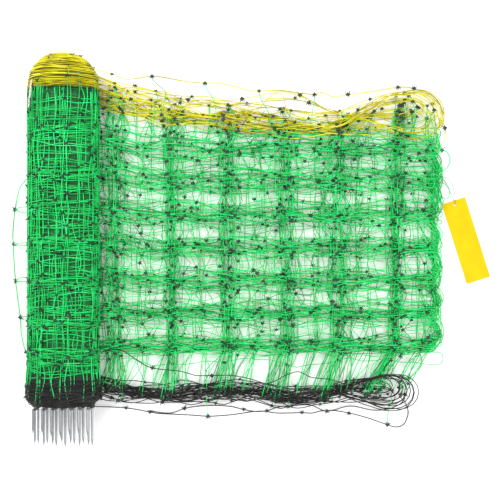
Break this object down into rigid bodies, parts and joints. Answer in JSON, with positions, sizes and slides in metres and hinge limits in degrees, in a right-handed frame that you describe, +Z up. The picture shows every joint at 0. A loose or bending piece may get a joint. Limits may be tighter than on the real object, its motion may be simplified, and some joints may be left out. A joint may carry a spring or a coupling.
{
  "type": "electric poultry netting",
  "caption": "Electric poultry netting, half rolled round its posts and half folded flat beside them, with steel double spikes and a bare card tag",
  "frame": {"origin": "on the floor, under the middle of the netting and posts", "axes": "+X runs from the roll out along the folds, +Y along the posts away from the spikes, +Z up"},
  "size_m": [1.7151, 1.3752, 0.1553],
  "materials": {
    "yellow_line": "satin",
    "green_line": "satin",
    "black_line": "satin",
    "post": "satin",
    "spike": "galvanised",
    "card": "matte",
    "string": "matte"
  },
  "bodies": {
    "root": {"netting_roll_top": "yellow_line", "netting_roll_field": "green_line", "netting_roll_bottom": "black_line", "netting_fold_top": "yellow_line", "netting_fold_field": "green_line", "netting_fold_bottom": "black_line", "post_01": "post", "post_02": "post", "post_03": "post", "post_04": "post", "post_05": "post", "post_06": "post", "post_07": "post", "post_08": "post", "post_09": "post", "post_10": "post", "post_11": "post", "post_12": "post", "post_13": "post", "post_14": "post", "double_spike_01": "spike", "double_spike_02": "spike", "double_spike_03": "spike", "double_spike_04": "spike", "double_spike_05": "spike", "double_spike_06": "spike", "double_spike_07": "spike", "double_spike_08": "spike", "double_spike_09": "spike", "double_spike_10": "spike", "double_spike_11": "spike", "double_spike_12": "spike", "double_spike_13": "spike", "double_spike_14": "spike", "hang_tag": "card", "tag_string": "string"}
  },
  "joints": []
}
